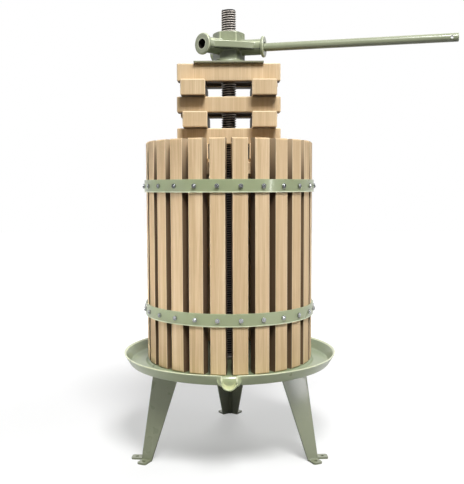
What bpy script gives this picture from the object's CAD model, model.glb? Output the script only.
import math
from contextlib import contextmanager

import bpy
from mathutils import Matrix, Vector


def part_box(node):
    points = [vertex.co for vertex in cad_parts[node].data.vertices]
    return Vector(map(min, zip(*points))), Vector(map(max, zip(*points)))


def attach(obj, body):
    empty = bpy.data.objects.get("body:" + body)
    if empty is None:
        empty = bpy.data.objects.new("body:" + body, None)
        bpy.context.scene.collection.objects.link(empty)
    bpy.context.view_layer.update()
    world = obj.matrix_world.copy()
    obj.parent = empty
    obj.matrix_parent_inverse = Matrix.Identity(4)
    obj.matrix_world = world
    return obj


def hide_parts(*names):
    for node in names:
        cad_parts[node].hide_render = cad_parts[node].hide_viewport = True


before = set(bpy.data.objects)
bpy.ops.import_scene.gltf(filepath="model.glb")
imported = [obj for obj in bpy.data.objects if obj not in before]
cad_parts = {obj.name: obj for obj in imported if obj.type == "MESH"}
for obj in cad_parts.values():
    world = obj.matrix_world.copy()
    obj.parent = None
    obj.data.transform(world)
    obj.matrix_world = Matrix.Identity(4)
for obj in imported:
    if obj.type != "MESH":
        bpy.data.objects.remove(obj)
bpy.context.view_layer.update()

MM = 0.001
UP = (0, 0, 1)


def box_mm(node):
    """Lowest and highest corner of a CAD node in millimetres."""
    low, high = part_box(node)
    return [v / MM for v in low], [v / MM for v in high]


# Sizes taken from the frame
screw_low, screw_high = box_mm("screw")
nut_low, nut_high = box_mm("press_nut")
hoop_box = {name: box_mm(name) for name in ("hoop_upper", "hoop_lower")}
slat_box = box_mm("slat_01")
low_block = box_mm("block_6_left")
tray_box = box_mm("tray")

# Screw
SCREW_R = (screw_high[0] - screw_low[0]) / 2
THREAD_PITCH = 4
THREAD_DEPTH = 2.4
THREAD_CREST = 1.3
THREAD_ROOT = 1.0
THREAD_STEPS = 28
SCREW_CHAMFER = 3  # at 3.4 the boolean cut loses the thread

# Press nut, cast in one piece
HUB_R = 28
HUB_CHAMFER = 3.6
FOOT_R = 28.8
FOOT_H = 9
FOOT_CHAMFER = 3
SOCKET_Z = nut_low[2] + 30.5
SOCKET_R = 13.5
SOCKET_END = 64
SOCKET_BORE_R = 8.3
SOCKET_FLOOR = 19
FLANGE_R = 18
FLANGE_T = 5
FLANGE_BEVEL = 1.4
WEB_T = 10
WEB_RISE = 1.5  # how much higher than the CAD web's top this one reaches
WEB_LOW = SOCKET_Z - WEB_T / 2
WEB_HIGH = SOCKET_Z + WEB_T / 2 + WEB_RISE
WEB_MID = 37.5
WEB_BOW_R = 262
SOCKET_ANGLES = (75.5, -44.5, 195.5)  # degrees from the front
HUB_CORNER_ANGLE = SOCKET_ANGLES[0] - 60 + 12  # the corners stand 12 degrees off the sockets
FOOT_TOP = nut_low[2] + FOOT_H
CAST_VOXEL = 0.75
NUT_ROOM = 0.1  # between the nut's bore and the screw

# Fasteners
SLAT_COUNT = 25
SLAT_PITCH = 2 * math.pi / SLAT_COUNT
HOOP_R = 148.1  # outside of the hoops
HOOP_NUT_W = 7
HOOP_NUT_H = 3
HOOP_BOLT_R = 2
HOOP_BOLT_TAIL = 1
HOOP_HEAD_R = 4.3
HOOP_HEAD_T = 1.8
SLAT_IN = 125.1  # where the bolts' heads begin, inside the slats
LEG_ANGLES = (-60, 60, 180)  # degrees from the front
LEG_BOLT_OUT = 110
LEG_BOLT_SIDE = 15
LEG_BOLT_R = 3
LEG_HEAD_R = 6
LEG_HEAD_T = 3.6
LEG_NUT_W = 10.2


# Selecting and shaping

def only(*pieces):
    """Selects these pieces alone, the first one active."""
    bpy.ops.object.select_all(action="DESELECT")
    for piece in pieces:
        piece.select_set(True)
    bpy.context.view_layer.objects.active = pieces[0]


def settle(name):
    """Names the primitive just added and puts its place and turn into its mesh."""
    piece = bpy.context.object
    piece.name = piece.data.name = name
    only(piece)
    bpy.ops.object.transform_apply(location=True, rotation=True, scale=True)
    return piece


def put(piece, turn=(0, 0, 0), place=(0, 0, 0)):
    """Turns a piece and moves it to a place in millimetres, in its mesh."""
    only(piece)
    piece.rotation_euler = turn
    piece.location = [v * MM for v in place]
    bpy.ops.object.transform_apply(location=True, rotation=True, scale=True)
    return piece


@contextmanager
def shaping(piece, kind, chosen):
    """Opens a piece in edit mode with only the chosen edges or faces selected, by their middle
    in millimetres and their direction."""
    only(piece)
    bpy.ops.object.mode_set(mode="EDIT")
    bpy.ops.mesh.select_mode(type=kind)
    bpy.ops.mesh.select_all(action="DESELECT")
    bpy.ops.object.mode_set(mode="OBJECT")
    mesh = piece.data
    if kind == "EDGE":
        for edge in mesh.edges:
            a, b = (mesh.vertices[i].co / MM for i in edge.vertices)
            edge.select = chosen((a + b) / 2, (b - a).normalized())
    else:
        for face in mesh.polygons:
            face.select = chosen(face.center / MM, face.normal)
    bpy.ops.object.mode_set(mode="EDIT")
    yield
    bpy.ops.object.mode_set(mode="OBJECT")


def everywhere(middle, direction):
    """Chooses every edge or face, for shaping."""
    return True


def finish_with(piece, kind, **settings):
    """Adds a modifier and applies it."""
    only(piece)
    modifier = piece.modifiers.new(kind, kind)
    for key, value in settings.items():
        setattr(modifier, key, value)
    bpy.ops.object.modifier_apply(modifier=modifier.name)


def combine(piece, tool, operation="DIFFERENCE"):
    """Cuts the tool from the piece, keeps what both share or adds it, and throws it away."""
    finish_with(piece, "BOOLEAN", object=tool, operation=operation, solver="EXACT")
    bpy.data.objects.remove(tool)


def joined(pieces):
    """Makes one piece of several."""
    only(*pieces)
    bpy.ops.object.join()
    return pieces[0]


def copies(piece, count, step):
    """The piece and its copies, each turned further about the screw by one step."""
    made = [piece]
    for i in range(1, count):
        only(piece)
        bpy.ops.object.duplicate()
        made.append(put(bpy.context.object, (0, 0, i * step)))
    return made


def smooth(piece, angle):
    """Shades a piece smooth, but for edges sharper than this angle in degrees."""
    only(piece)
    bpy.ops.object.shade_smooth_by_angle(angle=math.radians(angle))


def standing_bar(name, radius, low, high, sides, at=(0, 0)):
    """A bar of this many sides along Z between two heights."""
    bpy.ops.mesh.primitive_cylinder_add(
        vertices=sides, radius=radius * MM, depth=(high - low) * MM,
        location=(at[0] * MM, at[1] * MM, (low + high) / 2 * MM))
    return settle(name)


def spoke(name, radius, near, far, angle, height, sides=48):
    """A round bar that points out from the screw, at an angle from the front."""
    middle = (near + far) / 2
    turn = math.radians(angle)
    bpy.ops.mesh.primitive_cylinder_add(
        vertices=sides, radius=radius * MM, depth=(far - near) * MM,
        location=(middle * math.sin(turn) * MM, -middle * math.cos(turn) * MM, height * MM),
        rotation=(math.pi / 2, 0, turn))
    return settle(name)


def bevel_ends(piece, width, segments=1, axis=UP):
    """Bevels the edges around both ends of a bar along the axis."""
    along = Vector(axis)
    ends = [v.co.dot(along) / MM for v in piece.data.vertices]
    low, high = min(ends), max(ends)

    def at_end(middle, direction):
        place = middle.dot(along)
        return abs(direction.dot(along)) < 0.1 and (place < low + 0.01 or place > high - 0.01)

    with shaping(piece, "EDGE", at_end):
        bpy.ops.mesh.bevel(offset=width * MM, segments=segments, affect="EDGES", clamp_overlap=True)


# Screw

def threaded_bar(name, radius, low, high, pitch, depth, crest, root, chamfer):
    """A bar with a right-hand thread: one tooth's profile, wound up the bar and cut to length."""
    flank = (pitch - crest - root) / 2
    bpy.ops.mesh.primitive_plane_add(
        size=1 * MM, location=((radius - depth) * MM, 0, (low - 2 * pitch) * MM))
    bar = settle(name)
    bpy.ops.object.mode_set(mode="EDIT")
    bpy.ops.mesh.select_all(action="SELECT")
    bpy.ops.mesh.merge(type="CENTER")
    for out, up in ((0, root), (depth, flank), (0, crest), (-depth, flank)):
        bpy.ops.mesh.extrude_vertices_move(
            TRANSFORM_OT_translate={"value": (out * MM, 0, up * MM)})
    bpy.ops.object.mode_set(mode="OBJECT")
    turns = math.ceil((high - low) / pitch) + 4
    finish_with(bar, "SCREW", axis="Z", angle=2 * math.pi, screw_offset=pitch * MM,
                iterations=turns, steps=THREAD_STEPS, render_steps=THREAD_STEPS,
                use_merge_vertices=True, merge_threshold=1e-6, use_smooth_shade=False)
    for height, side in ((low, "clear_inner"), (high, "clear_outer")):
        with shaping(bar, "FACE", everywhere):
            bpy.ops.mesh.bisect(plane_co=(0, 0, height * MM), plane_no=UP, use_fill=True,
                                **{side: True})
    with shaping(bar, "FACE", everywhere):
        bpy.ops.mesh.normals_make_consistent(inside=False)
    blank = standing_bar("turned_blank", radius + 1, low, high, 2 * THREAD_STEPS)
    bevel_ends(blank, chamfer + 1)
    combine(bar, blank, "INTERSECT")
    smooth(bar, 20)
    return bar


# Fasteners

def hex_nut(name, width, low, high, bore_r):
    """A hexagonal nut about the Z axis with turned corners and a plain bore."""
    corner = width / math.sqrt(3)
    nut = standing_bar(name, corner, low, high, 6)
    turned = standing_bar("turned_disc", corner * 1.01, low, high, 36)
    bevel_ends(turned, corner - width / 2 + 0.1)
    combine(nut, turned, "INTERSECT")
    combine(nut, standing_bar("bore", bore_r, low - 1, high + 1, 24))
    return nut


def domed_bolt(name, bolt_r, head_r, head_t, head_low, tail_high):
    """A coach bolt about the Z axis, its domed head below and its chamfered tail above."""
    shank = standing_bar(name, bolt_r, head_low + head_t / 2, tail_high, 20)
    bevel_ends(shank, bolt_r * 0.25)
    bpy.ops.mesh.primitive_uv_sphere_add(
        segments=24, ring_count=12, radius=head_r * MM,
        location=(0, 0, (head_low + head_t) * MM), scale=(1, 1, head_t / head_r))
    head = settle("domed_head")
    with shaping(head, "FACE", everywhere):
        bpy.ops.mesh.bisect(plane_co=(0, 0, (head_low + head_t) * MM), plane_no=UP,
                            use_fill=True, clear_outer=True)
    smooth(head, 50)
    return joined([shank, head])


def face_out(piece, angle, height):
    """Turns a piece made about the Z axis to point out from the screw."""
    return put(piece, (math.pi / 2, 0, math.radians(angle)), (0, 0, height))


def hoop_fasteners(hoop, bolts_node, nuts_node):
    """The bolts of one hoop with their nuts, one modelled and the others turned copies."""
    low, high = hoop_box[hoop]
    height = (low[2] + high[2]) / 2
    first = 180 / SLAT_COUNT
    bolt = domed_bolt("bolt", HOOP_BOLT_R, HOOP_HEAD_R, HOOP_HEAD_T, SLAT_IN,
                      HOOP_R + HOOP_NUT_H + HOOP_BOLT_TAIL)
    nut = hex_nut("nut", HOOP_NUT_W, HOOP_R, HOOP_R + HOOP_NUT_H, HOOP_BOLT_R)
    for piece, node in ((bolt, bolts_node), (nut, nuts_node)):
        ring = joined(copies(face_out(piece, first, height), SLAT_COUNT, SLAT_PITCH))
        ring.name = ring.data.name = node.replace("hoop_", "zinc_")
        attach(ring, "basket")
        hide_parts(node)
        dress(ring, zinc)


def leg_fasteners():
    """The bolts that hold the legs to the tray, and their nuts."""
    bolts, nuts = [], []
    bolt_box, nut_box = box_mm("leg_bolts"), box_mm("leg_nuts")
    for angle in LEG_ANGLES:
        turn = math.radians(angle)
        for side in (-LEG_BOLT_SIDE, LEG_BOLT_SIDE):
            place = (side * math.cos(turn) + LEG_BOLT_OUT * math.sin(turn),
                     side * math.sin(turn) - LEG_BOLT_OUT * math.cos(turn), 0)
            bolt = domed_bolt("bolt", LEG_BOLT_R, LEG_HEAD_R, LEG_HEAD_T,
                              -bolt_box[1][2], -bolt_box[0][2])
            nut = hex_nut("nut", LEG_NUT_W, nut_box[0][2], nut_box[1][2], LEG_BOLT_R)
            bolts.append(put(bolt, (math.pi, 0, 0), place))
            nuts.append(put(nut, (0, 0, 0), place))
    for made, node in ((bolts, "leg_bolts"), (nuts, "leg_nuts")):
        group = joined(made)
        group.name = group.data.name = node.replace("leg_", "tray_")
        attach(group, "stand")
        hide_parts(node)
        dress(group, zinc)


# Press nut

def web_plate():
    """The web between the sockets: what three wide discs have in common."""
    discs = []
    for angle in SOCKET_ANGLES:
        turn = math.radians(angle)
        away = WEB_BOW_R - WEB_MID
        at = (away * math.sin(turn), -away * math.cos(turn))
        discs.append(standing_bar("bowed_side", WEB_BOW_R, WEB_LOW, WEB_HIGH, 240, at))
    web = discs[0]
    web.name = "web"
    for disc in discs[1:]:
        combine(web, disc, "INTERSECT")
    return web


def cast_nut():
    """The press nut, built of simple bodies that melt into each other as a casting's do."""
    foot, top = nut_low[2], nut_high[2]
    hub = standing_bar("hub", HUB_R, foot, top, 6)
    put(hub, (0, 0, math.radians(HUB_CORNER_ANGLE)))
    turned = standing_bar("turned_shoulders", HUB_R * 1.02, foot, top, 72)
    bevel_ends(turned, HUB_CHAMFER, 3)
    combine(hub, turned, "INTERSECT")
    ring = standing_bar("foot_ring", FOOT_R, foot, foot + FOOT_H, 72)
    bevel_ends(ring, FOOT_CHAMFER, 3)
    bodies = [hub, ring, web_plate()]
    for angle in SOCKET_ANGLES:
        bodies.append(spoke("socket", SOCKET_R, 0, SOCKET_END - 1, angle, SOCKET_Z))
        flange = spoke("flange", FLANGE_R, SOCKET_END - FLANGE_T, SOCKET_END, angle, SOCKET_Z, 64)
        turn = math.radians(angle)
        bevel_ends(flange, FLANGE_BEVEL, 2, (math.sin(turn), -math.cos(turn), 0))
        bodies.append(flange)
    nut = bodies[0]
    for body in bodies[1:]:
        combine(nut, body, "UNION")
    nut.name = nut.data.name = "cast_nut"
    finish_with(nut, "REMESH", mode="VOXEL", voxel_size=CAST_VOXEL * MM)
    finish_with(nut, "SMOOTH", factor=0.5, iterations=1)
    bore = standing_bar("bore", SCREW_R + NUT_ROOM, foot - 1, top + 1, 72)
    combine(nut, bore)
    for angle in SOCKET_ANGLES:
        combine(nut, spoke("socket_bore", SOCKET_BORE_R, SOCKET_FLOOR, SOCKET_END + 1,
                           angle, SOCKET_Z))
    smooth(nut, 40)
    return nut


# Shader maths

def linear(red, green, blue):
    """A colour given as 0 to 255 on screen, as the shader's own numbers."""
    def one(value):
        share = value / 255
        return share / 12.92 if share <= 0.04045 else ((share + 0.055) / 1.055) ** 2.4
    return (one(red), one(green), one(blue), 1)


class Wire:
    """A socket's output, on which Python's operators add Math nodes."""

    def __init__(self, finish, socket):
        self.finish = finish
        self.socket = socket

    def maths(self, operation, *others):
        """A Math node with this wire as its first value."""
        return self.finish.maths(operation, self, *others)

    def __add__(self, other):
        return self.maths("ADD", other)

    def __sub__(self, other):
        return self.maths("SUBTRACT", other)

    def __rsub__(self, other):
        return self.finish.maths("SUBTRACT", other, self)

    def __mul__(self, other):
        return self.maths("MULTIPLY", other)

    def __truediv__(self, other):
        return self.maths("DIVIDE", other)

    def __pow__(self, other):
        return self.maths("POWER", other)

    def __abs__(self):
        return self.maths("ABSOLUTE")

    __radd__ = __add__
    __rmul__ = __mul__

    def rise(self, low, high):
        """0 below low, 1 above high, and a smooth rise between."""
        settings = {"interpolation_type": "SMOOTHSTEP"}
        values = {"Value": self, "From Min": low, "From Max": high}
        return self.finish.node("MapRange", settings, values)

    def near(self, value, close, far):
        """1 closer to the value than close, and a smooth fall to 0 at far from it."""
        return 1 - abs(self - value).rise(close, far)


class Finish:
    """A material under construction on the principled shader."""

    def __init__(self, name, **constants):
        self.material = bpy.data.materials.new(name)
        self.material.use_nodes = True
        self.tree = self.material.node_tree
        self.shader = self.tree.nodes["Principled BSDF"]
        for key, value in constants.items():
            self.shader.inputs[key.replace("_", " ")].default_value = value
        place = self.split(self.node("TexCoord", output="Object"))
        self.x, self.y, self.z = (part * (1 / MM) for part in place)

    def node(self, kind, settings=None, inputs=None, output=0):
        """Adds any node: its settings first, then values or wires on its sockets."""
        node = self.tree.nodes.new("ShaderNode" + kind)
        for key, value in (settings or {}).items():
            if key == "stops":
                ramp = node.color_ramp.elements
                while len(ramp) < len(value):
                    ramp.new(0.5)
                for stop, (position, colour) in zip(ramp, value):
                    stop.position, stop.color = position, colour
            else:
                setattr(node, key, value)
        for key, value in (inputs or {}).items():
            if isinstance(value, Wire):
                self.tree.links.new(value.socket, node.inputs[key])
            else:
                node.inputs[key].default_value = value
        return Wire(self, node.outputs[output])

    def maths(self, operation, *values):
        """A Math node on these values or wires."""
        return self.node("Math", {"operation": operation}, dict(enumerate(values)))

    def vector(self, x, y, z):
        """One vector of three parts."""
        return self.node("CombineXYZ", inputs={0: x, 1: y, 2: z})

    def split(self, vector):
        """The three parts of a vector."""
        sockets = self.node("SeparateXYZ", inputs={0: vector}).socket.node.outputs
        return [Wire(self, socket) for socket in sockets]

    def facing(self):
        """The three parts of the direction that the surface faces."""
        return self.split(self.node("NewGeometry", output="Normal"))

    def from_screw(self):
        """The distance from the screw's axis."""
        return (self.x * self.x + self.y * self.y) ** 0.5

    def bearing(self):
        """The angle about the screw from the front, in radians."""
        return self.maths("ARCTAN2", self.x, self.y * -1)

    def noise(self, x, y, z, detail=2.0, roughness=0.5, distortion=0.0):
        """Noise from 0 to 1 on these coordinates."""
        inputs = {"Vector": self.vector(x, y, z), "Scale": 1.0, "Detail": detail,
                  "Roughness": roughness, "Distortion": distortion}
        return self.node("TexNoise", {"noise_dimensions": "3D"}, inputs)

    def even_noise(self, scale, detail=2.0, roughness=0.5):
        """Noise from 0 to 1 that is as fine along every axis."""
        return self.noise(self.x * scale, self.y * scale, self.z * scale, detail, roughness)

    def chance(self, value):
        """A number from 0 to 1 that belongs to this whole number."""
        return self.node("TexWhiteNoise", {"noise_dimensions": "1D"}, {"W": value})

    def blend(self, share, first, second):
        """Mixes two colours."""
        settings = {"data_type": "RGBA", "blend_type": "MIX", "clamp_result": True}
        return self.node("Mix", settings, {0: share, 6: first, 7: second}, output=2)

    def bump(self, height, strength, distance):
        """Lifts the surface by a height from 0 to 1 over a distance in millimetres."""
        normal = self.node("Bump", inputs={
            "Strength": strength, "Distance": distance * MM, "Height": height})
        self.drive(Normal=normal)

    def drive(self, **wires):
        """Links wires to the shader's sockets."""
        for key, wire in wires.items():
            self.tree.links.new(wire.socket, self.shader.inputs[key.replace("_", " ")])


def dress(piece, material):
    """Gives a piece one material all over."""
    piece.data.materials.clear()
    piece.data.materials.append(material)


def dress_node(name, material):
    """Gives a CAD node one material all over."""
    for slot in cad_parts[name].material_slots:
        slot.material = material


# Wood, with its colours as 0 to 255 on screen

SLAT_TONES = ((196, 167, 126), (212, 184, 145), (226, 202, 165))
BLOCK_TONES = ((192, 166, 128), (206, 180, 142), (217, 194, 158))
TONE_STOPS = (0.36, 0.5, 0.64)
PORE_TONE = (168, 134, 94)
PALE_EDGE_TONE = (243, 222, 188)
SLAT_SIDE_TONE = (100, 77, 55)
BLOCK_STAIN_TONE = (46, 34, 25)
FIBRE_STRETCH = 0.02
SLAT_OPEN_Z = 462  # above this height more light falls between the slats
SLAT_HALF_W = 12


def planed_wood(name, fibre, board, tones, pale_edge=None, dark=None, dark_tone=BLOCK_STAIN_TONE):
    """Planed beech. fibre is the axis of its fibres, board gives each board's number,
    pale_edge and dark are masks that these functions draw on the wood."""
    wood = Finish(name, Specular_IOR_Level=0.35)
    number = board(wood)
    shade = wood.chance(number)
    shift = wood.chance(number + 40) * 300
    stretch = [FIBRE_STRETCH if axis == fibre else 1 for axis in "xyz"]
    x, y, z = (place * share for place, share in zip((wood.x, wood.y, wood.z), stretch))
    bands = wood.noise(x * 0.12 + shift, y * 0.12, z * 0.12, 2, 0.5, 0.6)
    streaks = wood.noise(x * 0.75 + shift, y * 0.75, z * 0.75, 4, 0.6)
    pores = wood.noise(x * 2.4 + shift, y * 2.4, z * 2.4, 2, 0.5).rise(0.62, 0.72)
    stops = [(stop, linear(*tone)) for stop, tone in zip(TONE_STOPS, tones)]
    colour = wood.node("ValToRGB", {"stops": stops}, {0: bands * 0.5 + streaks * 0.5})
    colour = wood.blend(pores * 0.28, colour, linear(*PORE_TONE))
    colour = wood.blend(shade * 0.35, colour, linear(*tones[0]))
    if pale_edge:
        colour = wood.blend(pale_edge(wood) * 0.55, colour, linear(*PALE_EDGE_TONE))
    if dark:
        colour = wood.blend(dark(wood) * (0.9 + streaks * 0.1), colour, linear(*dark_tone))
    wood.drive(Base_Color=colour, Roughness=0.5 + streaks * 0.16)
    wood.bump(streaks * 0.7 + pores * -0.5, 0.25, 0.25)
    return wood.material


def slat_number(wood):
    """Each slat's own number, from its place round the screw."""
    return (wood.bearing() / SLAT_PITCH).maths("FLOOR")


def slat_side(wood):
    """1 on a slat's sides, which face along the hoops, and less near the basket's open top."""
    facing_x, facing_y = wood.facing()[:2]
    along_hoop = abs((facing_y * wood.x - facing_x * wood.y) / wood.from_screw())
    return along_hoop.rise(0.75, 0.95) * (1 - wood.z.rise(SLAT_OPEN_Z, slat_box[1][2]) * 0.6)


def slat_edge(wood):
    """1 along a slat's edges, from its place across the slat."""
    across = (wood.bearing() / SLAT_PITCH + 2 * SLAT_COUNT).maths("FRACT") - 0.5
    side = abs(wood.from_screw() * (across * SLAT_PITCH).maths("SINE"))
    return side.rise(SLAT_HALF_W - 0.8, SLAT_HALF_W)


def block_number(wood):
    """Each block's own number, from its layer and its side of the screw."""
    up = (wood.z - low_block[0][2]) / (low_block[1][2] - low_block[0][2])
    layer = up.maths("MINIMUM", 5.5).maths("FLOOR")
    side = wood.x.rise(-0.1, 0.1) * 7 + wood.y.rise(-0.1, 0.1) * 13
    return layer + side.maths("ROUND")


def block_stain(wood, axis):
    """1 on a block's underside and on its face towards the screw, which juice has stained."""
    place = {"x": wood.x, "y": wood.y}[axis]
    facing = dict(zip("xyz", wood.facing()))
    inward = (place.rise(-0.1, 0.1) * -2 + 1) * facing[axis]
    return (facing["z"] * -1).maths("MAXIMUM", inward).rise(0.8, 0.95)


def chamfer_mask(wood):
    """1 where a face lies askew, as on a chamfer."""
    x, y, z = (abs(part) for part in wood.facing())
    return 1 - x.maths("MAXIMUM", y).maths("MAXIMUM", z).rise(0.9, 0.97)


# Enamel and metals, with their colours as 0 to 255 on screen

SAGE = ((145, 155, 118), (159, 168, 131))
DARK_SAGE = ((134, 141, 113), (146, 152, 124))
LEG_SAGE = ((124, 129, 105), (136, 141, 115))
PLATE_SAGE = ((126, 128, 107), (138, 140, 118))
PEEL_TONE = (178, 186, 152)
THIN_TONE = (224, 230, 196)
WORN_TONE = (112, 128, 96)
SPOUT_TONE = (226, 234, 184)
WEB_STAIN_TONE = (58, 62, 48)
WEB_EDGE_TONE = (66, 70, 54)
GREASE_TONE = (40, 38, 34)
WORN_SHARE = 0.7
WORN_FRONT_Y = -150
SPOUT_Y = -190


def edge_line(paint, edges):
    """1 along these heights, where the enamel is thin over a sharp edge."""
    return sum(paint.z.near(height, 1.5, 2.1) for height in edges)


def tray_marks(paint, colour):
    """Marks of the tray: worn patches on its floor and a spout rinsed pale by the juice."""
    patch = paint.noise(paint.x * 0.012, paint.y * 0.012, paint.z * 0.05, 3, 0.6)
    inside = paint.facing()[2].rise(0.2, 0.6) * (paint.y - WORN_FRONT_Y).rise(0, 20)
    worn = inside * (0.5 + patch.rise(0.35, 0.65) * 0.5)
    colour = paint.blend(worn * WORN_SHARE, colour, linear(*WORN_TONE))
    spout = 1 - (paint.y - SPOUT_Y).rise(0, 12)
    return paint.blend(spout * WORN_SHARE, colour, linear(*SPOUT_TONE))


def corner_line(paint):
    """1 along the hub's corners, where the enamel is thin over the casting."""
    sixth = math.radians(60)
    turns = (paint.bearing() - math.radians(HUB_CORNER_ANGLE)) / sixth
    across = (turns + 50.5).maths("FRACT") - 0.5
    out = paint.from_screw()
    line = (across * sixth * out).near(0, 0.5, 1.3)
    return line * paint.z.rise(WEB_HIGH + 0.5, WEB_HIGH + 1.5) * out.rise(HUB_R - 3, HUB_R - 2)


def cast_marks(paint, colour):
    """Pale and dark marks of the cast nut: corners, web edges, flange rims and greasy bores."""
    off_sockets, end = SOCKET_END, 0
    for angle in SOCKET_ANGLES:
        turn = math.radians(angle)
        along = paint.x * math.sin(turn) - paint.y * math.cos(turn)
        across = paint.x * math.cos(turn) + paint.y * math.sin(turn)
        off_axis = (across * across + (paint.z - SOCKET_Z) ** 2) ** 0.5
        behind = (1 - along.rise(0, 2)) * 100
        off_sockets = (off_axis + behind).maths("MINIMUM", off_sockets)
        end = along.maths("MAXIMUM", end)
    off_flange = 1 - end.rise(SOCKET_END - FLANGE_T - 0.5, SOCKET_END - FLANGE_T)
    past_hub = paint.from_screw().rise(HUB_R + 1, HUB_R + 2)
    at_end = end.rise(SOCKET_END - 1.6, SOCKET_END - 1)
    stain = (1 - paint.z.rise(WEB_LOW - 2, WEB_LOW)) * paint.z.rise(FOOT_TOP - 1, FOOT_TOP + 4)
    top_line = paint.z.near(WEB_HIGH, 0.6, 1.4) * off_flange
    low_line = paint.z.near(WEB_LOW, 0.6, 1.6) * off_flange
    rim = off_sockets.near(FLANGE_R, 0.8, 1.6) * at_end
    lip = off_sockets.near(SOCKET_BORE_R, 0.8, 1.6) * at_end
    in_bore = 1 - off_sockets.rise(SOCKET_BORE_R, SOCKET_BORE_R + 0.3)
    for share, tone in ((stain * off_flange * 0.5, WEB_STAIN_TONE),
                        (corner_line(paint) * 0.6, THIN_TONE),
                        (top_line * past_hub * 0.75, THIN_TONE),
                        (low_line * 0.85, WEB_EDGE_TONE),
                        (rim.maths("MAXIMUM", lip) * 0.6, THIN_TONE),
                        (in_bore, GREASE_TONE)):
        colour = paint.blend(share, colour, linear(*tone))
    return colour


def enamel(name, tones=SAGE, edges=(), marks=None, rough=False):
    """Sage green enamel, even over sheet or rough over a casting, with a function's marks."""
    paint = Finish(name, Coat_Weight=0.35, Coat_Roughness=0.1, Specular_IOR_Level=0.5)
    cloud = paint.even_noise(0.02, 3)
    peel = paint.even_noise(0.9)
    colour = paint.blend(cloud, linear(*tones[0]), linear(*tones[1]))
    colour = paint.blend((peel - 0.5).rise(0.05, 0.3) * 0.2, colour, linear(*PEEL_TONE))
    if marks:
        colour = marks(paint, colour)
    if edges:
        colour = paint.blend(edge_line(paint, edges) * 0.9, colour, linear(*THIN_TONE))
    paint.drive(Base_Color=colour, Roughness=0.24 + cloud * 0.1)
    if rough:
        grit = paint.even_noise(0.45, 5, 0.6)
        paint.bump(grit + peel * 0.3, 0.35, 0.6)
    else:
        paint.bump(peel, 0.12, 0.15)
    return paint.material


def screw_steel():
    """Dark oiled steel: grime in the thread's roots and a worn shine on its crests."""
    steel = Finish("oiled_steel", Specular_IOR_Level=0.5)
    crest = steel.from_screw().rise(SCREW_R - 1.2, SCREW_R - 0.3)
    smear = steel.noise(steel.x * 0.3, steel.y * 0.3, steel.z * 0.08, 4, 0.6)
    clean = 0.35 + steel.z.rise(470, 560) * 0.65
    colour = steel.blend(crest * clean * (0.6 + smear * 0.6), linear(15, 12, 10),
                         linear(206, 197, 189))
    steel.drive(Base_Color=colour, Roughness=0.5 - crest * 0.2 + smear * 0.1,
                Metallic=0.35 + crest * 0.3)
    steel.bump(smear, 0.1, 0.2)
    return steel.material


def bright_zinc():
    """Bright zinc plating with faint turning marks."""
    plate = Finish("bright_zinc", Metallic=1.0)
    spangle = plate.even_noise(0.8, 3, 0.6)
    marks = plate.noise(plate.x * 0.4, plate.y * 0.4, plate.z * 6, 2)
    colour = plate.blend(spangle, linear(138, 140, 142), linear(196, 198, 199))
    plate.drive(Base_Color=colour, Roughness=0.1 + spangle * 0.14)
    plate.bump(marks, 0.08, 0.1)
    return plate.material


zinc = bright_zinc()
steel = screw_steel()
bare_edges = [tray_box[1][2]] + [low[2] for low, high in hoop_box.values()]
sheet_enamel = enamel("sage_enamel", edges=bare_edges)
tray_enamel = enamel("sage_enamel_tray", edges=bare_edges, marks=tray_marks)
cast_enamel = enamel("sage_enamel_cast", DARK_SAGE, marks=cast_marks, rough=True)
bar_enamel = enamel("sage_enamel_bar", DARK_SAGE)
leg_enamel = enamel("sage_enamel_leg", LEG_SAGE)
plate_enamel = enamel("sage_enamel_worn", PLATE_SAGE)
slat_wood = planed_wood("slat_beech", "z", slat_number, SLAT_TONES, slat_edge, slat_side,
                        SLAT_SIDE_TONE)
cross_wood = planed_wood("cross_block_beech", "z", block_number, BLOCK_TONES, chamfer_mask,
                         lambda wood: block_stain(wood, "y"))
deep_wood = planed_wood("deep_block_beech", "z", block_number, BLOCK_TONES, chamfer_mask,
                        lambda wood: block_stain(wood, "x"))
plate_wood = planed_wood("press_plate_beech", "y", block_number, BLOCK_TONES)

# CAD nodes and their finishes
own_finish = {
    "tray": tray_enamel, "hoop_upper": sheet_enamel, "hoop_lower": sheet_enamel,
    "leg_front_left": leg_enamel, "leg_front_right": leg_enamel, "leg_rear": leg_enamel,
    "lever": bar_enamel, "thrust_plate": plate_enamel, "press_nut": cast_enamel,
    "screw": steel, "screw_flange": steel,
}
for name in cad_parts:
    if name.startswith("slat_"):
        dress_node(name, slat_wood)
    elif name.startswith("block_"):
        dress_node(name, cross_wood if name.endswith(("front", "back")) else deep_wood)
    elif name.startswith("press_plate_"):
        dress_node(name, plate_wood)
    else:
        dress_node(name, own_finish.get(name, zinc))

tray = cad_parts["tray"]
tray.modifiers.new("weld", "WELD").merge_threshold = 1e-5
tray.modifiers.new("even_shading", "WEIGHTED_NORMAL").keep_sharp = False

# Pieces
screw = threaded_bar("screw_thread", SCREW_R, screw_low[2], screw_high[2], THREAD_PITCH,
                     THREAD_DEPTH, THREAD_CREST, THREAD_ROOT, SCREW_CHAMFER)
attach(screw, "stand")
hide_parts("screw")
dress(screw, steel)

nut = cast_nut()
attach(nut, "press_nut")
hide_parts("press_nut")
dress(nut, cast_enamel)

hoop_fasteners("hoop_upper", "hoop_bolts_upper", "hoop_nuts_upper")
hoop_fasteners("hoop_lower", "hoop_bolts_lower", "hoop_nuts_lower")
leg_fasteners()

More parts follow.
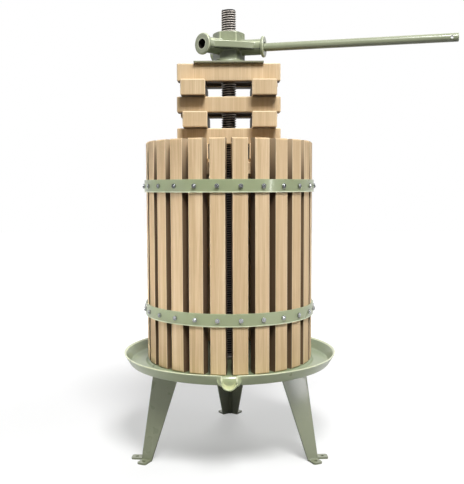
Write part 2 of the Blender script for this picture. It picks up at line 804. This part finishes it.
# Floor. The camera and reflections see it lit from within and white further out. To other
# rays it is a pale ring round the feet, so that it throws some light up under the tray.
FLOOR_SIZE = 12
bpy.ops.mesh.primitive_plane_add(size=FLOOR_SIZE, location=(0, 0, 0))
floor = settle("floor")
paper = Finish("white_paper", Roughness=0.9, Specular_IOR_Level=0.1)
out = paper.from_screw()
away = out.rise(380, 1000)
ring = out.rise(120, 260) * (1 - out.rise(350, 700))
fibres = paper.noise(paper.x * 0.001, paper.y * 0.001, paper.z, 1)
seen = paper.node("LightPath", output="Is Camera Ray")
shiny = paper.node("LightPath", output="Is Glossy Ray")
bounce = seen * 0.5 + (1 - seen) * ring * 0.62
level = (0.05 + bounce + fibres * 0.01) * (1 - away * 0.9)
paper.drive(Base_Color=paper.vector(level, level, level))
paper.shader.inputs["Emission Color"].default_value = (1, 1, 1, 1)
shown = seen.maths("MAXIMUM", shiny * (0.4 + away * 0.5))
paper.drive(Emission_Strength=shown * (0.38 + away * 0.72))
dress(floor, paper.material)


# Light

def soft_lamp(name, turn, height, distance, width, power, aim=0.4, spread=180, tall=1,
              mirrored=True, lights=True):
    """A soft box aimed at the press, turned from the front and raised by these angles."""
    turn, height = math.radians(turn), math.radians(height)
    flat = distance * math.cos(height)
    place = (flat * math.sin(turn), -flat * math.cos(turn), aim + distance * math.sin(height))
    bpy.ops.object.light_add(type="AREA", location=place,
                             rotation=(math.pi / 2 - height, 0, turn))
    lamp = bpy.context.object
    lamp.name = name
    lamp.data.shape = "RECTANGLE"
    lamp.data.size = width
    lamp.data.size_y = width * tall
    lamp.data.energy = power
    lamp.data.spread = math.radians(spread)
    lamp.visible_glossy = mirrored
    lamp.visible_diffuse = lights


soft_lamp("key", 13, 51, 2.4, 0.8, 71.5)
soft_lamp("back_fill", 176, 34, 2.4, 1.2, 18, mirrored=False)
soft_lamp("left_strip", -78, 30, 2.2, 1.1, 7)
soft_lamp("right_strip", 80, 30, 2.2, 1.1, 8)
soft_lamp("streak", 54, 6, 1.8, 0.05, 8, tall=30, lights=False)
soft_lamp("left_basket", -74, 0, 1.4, 0.3, 0.3, aim=0.34, spread=24, mirrored=False)
soft_lamp("right_basket", 76, 0, 1.4, 0.3, 0.12, aim=0.34, spread=24, mirrored=False)

# World: a dim sky for light, a brighter one for reflections and white for the camera
world = bpy.data.worlds.new("studio")
bpy.context.scene.world = world
world.use_nodes = True
tree = world.node_tree
air = tree.nodes["Background"]
air.inputs["Color"].default_value = (1, 1, 1, 1)
path = tree.nodes.new("ShaderNodeLightPath")
way = tree.nodes.new("ShaderNodeTexCoord")
split = tree.nodes.new("ShaderNodeSeparateXYZ")
tree.links.new(way.outputs["Generated"], split.inputs[0])


def sky_ramp(axis, low, high, dark, bright, interpolation="LINEAR"):
    """Brightness that goes from dark to bright as the direction's part along an axis rises."""
    ramp = tree.nodes.new("ShaderNodeMapRange")
    ramp.interpolation_type = interpolation
    values = {"From Min": low, "From Max": high, "To Min": dark, "To Max": bright}
    for key, value in values.items():
        ramp.inputs[key].default_value = value
    tree.links.new(split.outputs[axis], ramp.inputs["Value"])
    return ramp.outputs[0]


def pick(share, first, second):
    """A Mix node between two numbers."""
    mix = tree.nodes.new("ShaderNodeMix")
    tree.links.new(share, mix.inputs[0])
    for socket, value in ((mix.inputs[2], first), (mix.inputs[3], second)):
        if isinstance(value, float):
            socket.default_value = value
        else:
            tree.links.new(value, socket)
    return mix.outputs[0]


sky = sky_ramp("Z", 0.2, 0.95, 0.0, 0.22, "SMOOTHSTEP")
glow = sky_ramp("Z", 0.0, 0.55, 0.04, 1.4)
behind = sky_ramp("Y", 0.1, 0.6, 0.0, 0.9)
bright = tree.nodes.new("ShaderNodeMath")
bright.operation = "MAXIMUM"
tree.links.new(glow, bright.inputs[0])
tree.links.new(behind, bright.inputs[1])
shine = pick(path.outputs["Is Glossy Ray"], sky, bright.outputs[0])
tree.links.new(pick(path.outputs["Is Camera Ray"], shine, 1.0), air.inputs["Strength"])

# Camera, as fitted to the photograph
CAMERA_AT = (0.00497, -1.2793, 0.4597)
CAMERA_DOWN = 4.323
CAMERA_ROLL = 0.161
FOCAL_PX = 724.1
PICTURE_H = 484
bpy.ops.object.camera_add(location=CAMERA_AT, rotation=(
    math.radians(90 - CAMERA_DOWN), math.radians(CAMERA_ROLL), 0))
camera = bpy.context.object
camera.data.sensor_width = 36
camera.data.lens = FOCAL_PX * camera.data.sensor_width / PICTURE_H
bpy.context.scene.camera = camera
bpy.context.scene.view_settings.view_transform = "Standard"
